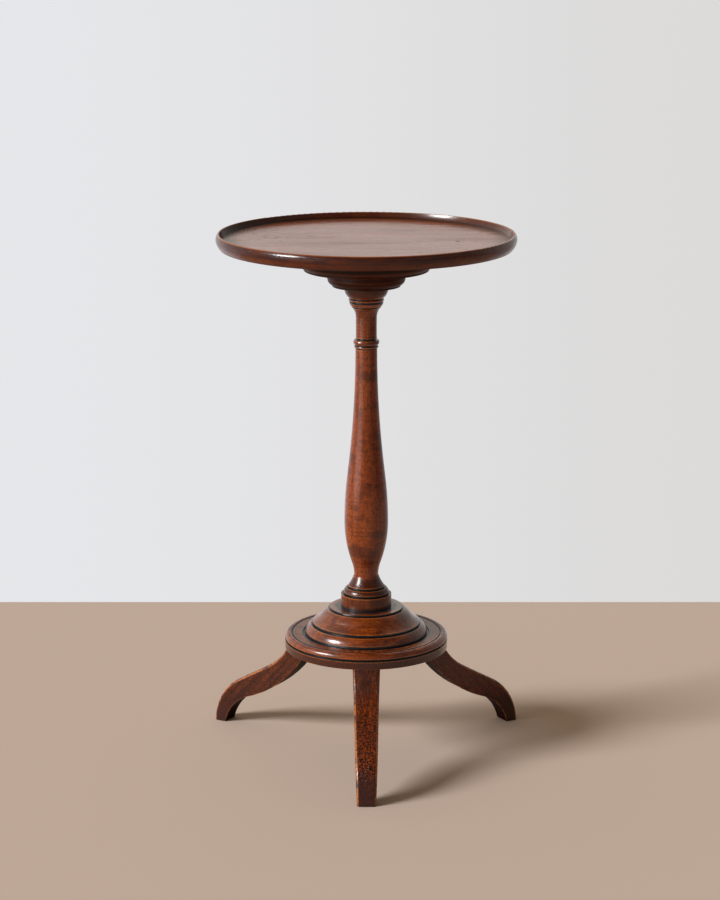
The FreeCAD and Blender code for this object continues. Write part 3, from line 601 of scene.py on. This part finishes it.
def top_finish():
    """The dished board: polished above, darkened round its rim, plainer and painted dark as shade
    underneath; dirt and painted shade round the foot of the dish's wall, painted light on the rim's right
    end.
    """
    material, finish = new_finish("table_top_polish")
    wood = Wood(finish, RIGHT, BACK, UP, 1.7)
    place = wood.place
    height = finish.part(place, UP)
    radius = distance_out(finish, place)
    rightward = finish.part(place, RIGHT)
    outward = finish.vector("NORMALIZE", finish.scaled(place, (1, 1, 0)))
    lean = finish.part(finish.facing(), outward)
    level = finish.part(finish.facing(), UP)
    edge = dish_radius()
    dish = finish.step(level, 0.9, 0.98) * finish.step(radius, edge + DISH_BLUR, edge)
    # Painted shade: faces looking down are painted dark under the board, and left matt.
    underside = finish.step(level, -0.5, -0.9)
    inner = finish.step(lean, -0.05, -0.3)
    outer = finish.step(lean, 0.2, 0.6)
    mottle = finish.blotches(finish.scaled(place, (1, 1, 6)), 40, 3.0, 0.35, 0.65)
    upper = finish.band(height, *RIM_BAND, RIM_BLUR) * outer
    lower = finish.step(height, RIM_BAND[0], RIM_BAND[0] - RIM_BLUR) * outer
    lip = finish.step(height, *LIP)
    # Painted light: the rim's outer face is painted less dark and less purple towards its right end, for
    # light from the right.
    painted_light_right = finish.step(rightward, *PAINTED_LIGHT_RIGHT)
    # Dirt and painted shade: a dark ring round the dish next to its wall, and a black line in the corner at
    # the wall's foot.
    dirt_and_shade_border = finish.step(radius, edge - DISH_BORDER[0], edge - DISH_BORDER[1]) * dish
    corner = finish.band(radius, edge - WALL_FOOT_IN, edge + WALL_FOOT_OUT, WALL_FOOT_OUT)
    spot = dish_spot(finish, place) * dish
    veins = dish_veins(finish, place) * dish
    # The coat of pore colour from corner_dirt_and_shade is dirt and painted shade in the corners.
    colour = finish.layers(wood.colour(DARK, MIDDLE, LIGHT, streaks=0.4), (dish, 0.15, LIGHT),
                           (dirt_and_shade_border, 0.65, PORE), (finish.most(veins * 0.2, spot), 1.0, PORE),
                           (outer, 0.65 - painted_light_right * 0.3, DARK), (lower, 0.15, MIDDLE),
                           (upper * (0.4 + mottle * 0.55), 1 - painted_light_right * 0.6, PURPLE),
                           (inner, 0.82 + mottle * 0.15, DARK), (lip, 0.25, WORN), (corner, 0.9, PORE),
                           (corner_dirt_and_shade(finish, place, TOP_DIRT_AND_SHADE), 0.6, PORE), (underside, 0.8, DARK))
    roughness = 0.15 + wood.clouds * 0.05 + underside * 0.45 + dirt_and_shade_border * 0.1 + spot * 0.6 + inner * 0.1
    waves = finish.noise(finish.scaled(place, (0.7, 1, 1)), 75, 2.0)
    relief = (wood.relief() + wood.streaks * 0.8) * (1 - inner) * (1 - lip) + (waves * 9 - veins) * dish
    grey_end = inner * finish.step(rightward, *GREY_END)
    tired = (veins * 0.16 + wood.marks(28, 5.0, 0.45, 0.7, detail=4.0) * 0.14) * dish
    matt = finish.most(finish.most(underside * 0.6, grey_end * 0.6), tired)
    polish(finish, colour, roughness, relief, GRAIN_DEPTH, TOP_COAT + inner * 0.1, matt)
    return material


def leg_finish(node, seed):
    """A sawn leg: grain from root to foot, black specks, inner face nearly black with dirt and painted
    shade, painted light round the knee, worn edges.
    """
    low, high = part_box(node)
    middle = (low + high) / 2
    out = Vector((middle.x, middle.y, 0)).normalized()
    along = (out * LEG_OUT - Vector(UP) * LEG_DOWN).normalized()
    aside = Vector(UP).cross(out).normalized()
    across = along.cross(aside).normalized()
    inward = -(out * LEG_DOWN + Vector(UP) * LEG_OUT).normalized()
    material, finish = new_finish(node + "_polish")
    wood = Wood(finish, along, across, aside, seed)
    place = wood.place
    height = finish.part(place, UP) + finish.wander(place, 50, 2.0, LEVEL_RAGGED)
    knee = finish.band(height, *KNEE, KNEE_BLUR)
    root = finish.step(height, *ROOT)
    foot = finish.step(height, *FOOT)
    slits = wood.marks(380, 12, 0.5, 0.62)
    # Dirt and painted shade: darker in the corners that ambient occlusion finds.
    dirt_and_shade = corner_dirt_and_shade(finish, place, LEG_DIRT_AND_SHADE)
    turn = abs(finish.part(finish.facing(), aside))
    # Dirt and painted shade: the inward faces, which look down, are painted nearly black and left matt.
    inner = finish.step(finish.part(finish.facing(), inward), 0.3, 0.6) * finish.step(turn, 0.55, 0.3)
    front = finish.step(turn, 0.4, 0.15) * (1 - inner)
    fine = finish.most(finish.specks(place, 420, 0.6, 0.5), finish.blotches(place, 640, 3.0, 0.52, 0.62))
    coarse = finish.blotches(place, 450, 4.0, 0.47, 0.55) * front * knee
    specks = finish.most(fine * (0.65 + knee * 0.2), coarse)
    arris = finish.band(turn, 0.45, 0.9, 0.08)
    dull_arris = arris * (1 - foot) * 0.2
    worn = arris * finish.blotches(place, 60, 3.0, 0.32, 0.52)
    # Painted light: the outer faces are painted redder round the knee, where they face up; the root is
    # darker and the foot purple-brown.
    colour = finish.layers(wood.colour(LEG_DARK, LEG_MIDDLE, LEG_LIGHT, streaks=0.4),
                           (front * knee, 0.4, RED), (root, 0.4, LEG_DARK),
                           (slits, 0.25 + root * 0.35, PORE), (foot, 0.75, PURPLE),
                           (worn, 0.65 - root * 0.4, WORN), (specks, 0.95, PORE),
                           (finish.most(dirt_and_shade * 0.7, inner * 0.9), 1.0, PORE))
    roughness = 0.24 + wood.clouds * 0.1 + dirt_and_shade * 0.2 + dull_arris
    relief = wood.relief() - specks * 0.7
    polish(finish, colour, roughness, relief, LEG_GRAIN_DEPTH, LEG_COAT - dull_arris, inner * 0.85)
    return material


def inner_finish():
    """Bare hardwood of the dowels and wedges."""
    material, finish = new_finish("inner_hardwood_bare")
    wood = Wood(finish, UP, RIGHT, BACK, 9.1)
    colour = wood.colour(BARE_DARK, BARE_MIDDLE, BARE_LIGHT)
    polish(finish, colour, 0.6 + wood.fibres * 0.1, wood.relief(), GRAIN_DEPTH, 0.0)
    return material


def screw_finish():
    """Dull old steel."""
    material, finish = new_finish("screw_steel_dull")
    rust = finish.blotches(finish.place(), 500, 4.0, 0.45, 0.65)
    steel = {"Base Color": finish.mix(rust, STEEL, RUST), "Metallic": 1 - rust * 0.7,
             "Roughness": 0.38 + rust * 0.35}
    finish.surface(finish.node("ShaderNodeBsdfPrincipled", None, steel))
    return material


def dress(nodes, material):
    for node in nodes:
        data = frame["nodes"][node].data
        data.materials.clear()
        data.materials.append(material)


dress(["table_top"], top_finish())
dress(["column"], turned_finish("column", UP, RIGHT, BACK, 4.4, COLUMN_COAT))
for seed, disc in enumerate(BOSS, start=5):
    dress([disc], turned_finish(disc, RIGHT, BACK, UP, seed, BOSS_COAT))
for seed, disc in enumerate(BASE, start=7):
    dress([disc], turned_finish(disc, RIGHT, BACK, UP, seed, BASE_COAT))
for seed, leg in enumerate(("leg_front", "leg_rear_right", "leg_rear_left"), start=11):
    dress([leg], leg_finish(leg, seed))
dress(["upper_wedge", "lower_wedge", "leg_front_dowels", "leg_rear_right_dowels", "leg_rear_left_dowels"],
      inner_finish())
dress(["boss_screws", "dome_screws"], screw_finish())


# Stage

def make_floor():
    corners = [(-FLOOR_HALF_WIDTH, FLOOR_FRONT, 0), (FLOOR_HALF_WIDTH, FLOOR_FRONT, 0),
               (FLOOR_HALF_WIDTH, FLOOR_BACK, 0), (-FLOOR_HALF_WIDTH, FLOOR_BACK, 0)]
    mesh = bpy.data.meshes.new("floor")
    mesh.from_pydata(corners, [], [(0, 1, 2, 3)])
    floor = bpy.data.objects.new("floor", mesh)
    bpy.context.scene.collection.objects.link(floor)
    material, finish = new_finish("floor_plain")
    chalky = {"Base Color": FLOOR_COLOUR, "Roughness": 1.0, "Specular IOR Level": 0.0}
    finish.surface(finish.node("ShaderNodeBsdfPrincipled", None, chalky))
    mesh.materials.append(material)


def make_world():
    """Pale backdrop all round for the camera and behind the table for its polish, and a dim fill light."""
    world = bpy.data.worlds.new("surroundings")
    bpy.context.scene.world = world
    world.use_nodes = True
    finish = Finish(world.node_tree)
    way = finish.node("ShaderNodeTexCoord", output="Generated")
    rightward = finish.part(way, RIGHT)
    upward = finish.part(way, UP)
    left = finish.step(finish.part(way, LEFT), -0.2, 0.9)
    right = finish.step(rightward, 0.05, 0.65)
    behind = finish.step(finish.part(way, BACK), -0.2, 0.7) * (1 - right * 0.7)
    level = finish.band(upward, 0.15, 0.55, 0.25)
    sides = left * FILL_LEFT + right * FILL_RIGHT + level * FILL_LEVEL
    fill = FILL_ROUND + behind * FILL_BEHIND + sides * (1 - behind)
    camera, glossy, through = (finish.node("ShaderNodeLightPath", output=ray)
                               for ray in ("Is Camera Ray", "Is Glossy Ray", "Is Transmission Ray"))
    mirrored = finish.most(glossy, through)
    seen = finish.most(camera, mirrored * behind)
    backdrop = finish.mix(finish.step(rightward, -0.12, 0.14), BACKDROP_LEFT, BACKDROP_RIGHT)
    backdrop = finish.mix(finish.step(upward, 0.0, 0.3), backdrop, BACKDROP_HIGH)
    colour = finish.mix(finish.most(camera, mirrored), FILL_COLOUR, backdrop)
    strength = seen + fill * (1 - seen)
    light = finish.node("ShaderNodeBackground", None, {"Color": colour, "Strength": strength})
    finish.node("ShaderNodeOutputWorld", None, {"Surface": light}, None)


def hang_lamp(data, bearing, elevation, distance):
    """Puts a lamp where it faces the table."""
    out = math.cos(math.radians(elevation)) * distance
    offset = Vector((-math.sin(math.radians(bearing)) * out, -math.cos(math.radians(bearing)) * out,
                     math.sin(math.radians(elevation)) * distance))
    lamp = bpy.data.objects.new(data.name, data)
    lamp.location = LAMP_TARGET + offset
    lamp.rotation_euler = (-offset).to_track_quat("-Z", "Y").to_euler()
    bpy.context.scene.collection.objects.link(lamp)


def make_window():
    """A far window, so that its light is even all over the floor."""
    data = bpy.data.lights.new("window", "SUN")
    data.angle = math.radians(WINDOW_ANGLE)
    data.energy = WINDOW_STRENGTH
    hang_lamp(data, WINDOW_BEARING, WINDOW_ELEVATION, WINDOW_DISTANCE)


def make_screen():
    """A pale screen, low on the same side, that upright faces mirror."""
    data = bpy.data.lights.new("low_screen", "AREA")
    data.shape = "RECTANGLE"
    data.size = SCREEN_WIDTH
    data.size_y = SCREEN_HEIGHT
    data.energy = SCREEN_POWER
    hang_lamp(data, SCREEN_BEARING, SCREEN_ELEVATION, SCREEN_DISTANCE)


def make_camera():
    data = bpy.data.cameras.new("camera")
    data.lens = CAMERA_LENS
    camera = bpy.data.objects.new("camera", data)
    camera.location = CAMERA_PLACE
    camera.rotation_euler = (math.radians(90 - CAMERA_TILT), 0, 0)
    bpy.context.scene.collection.objects.link(camera)
    bpy.context.scene.camera = camera


make_floor()
make_world()
make_window()
make_screen()
make_camera()
bpy.context.scene.view_settings.view_transform = "Standard"
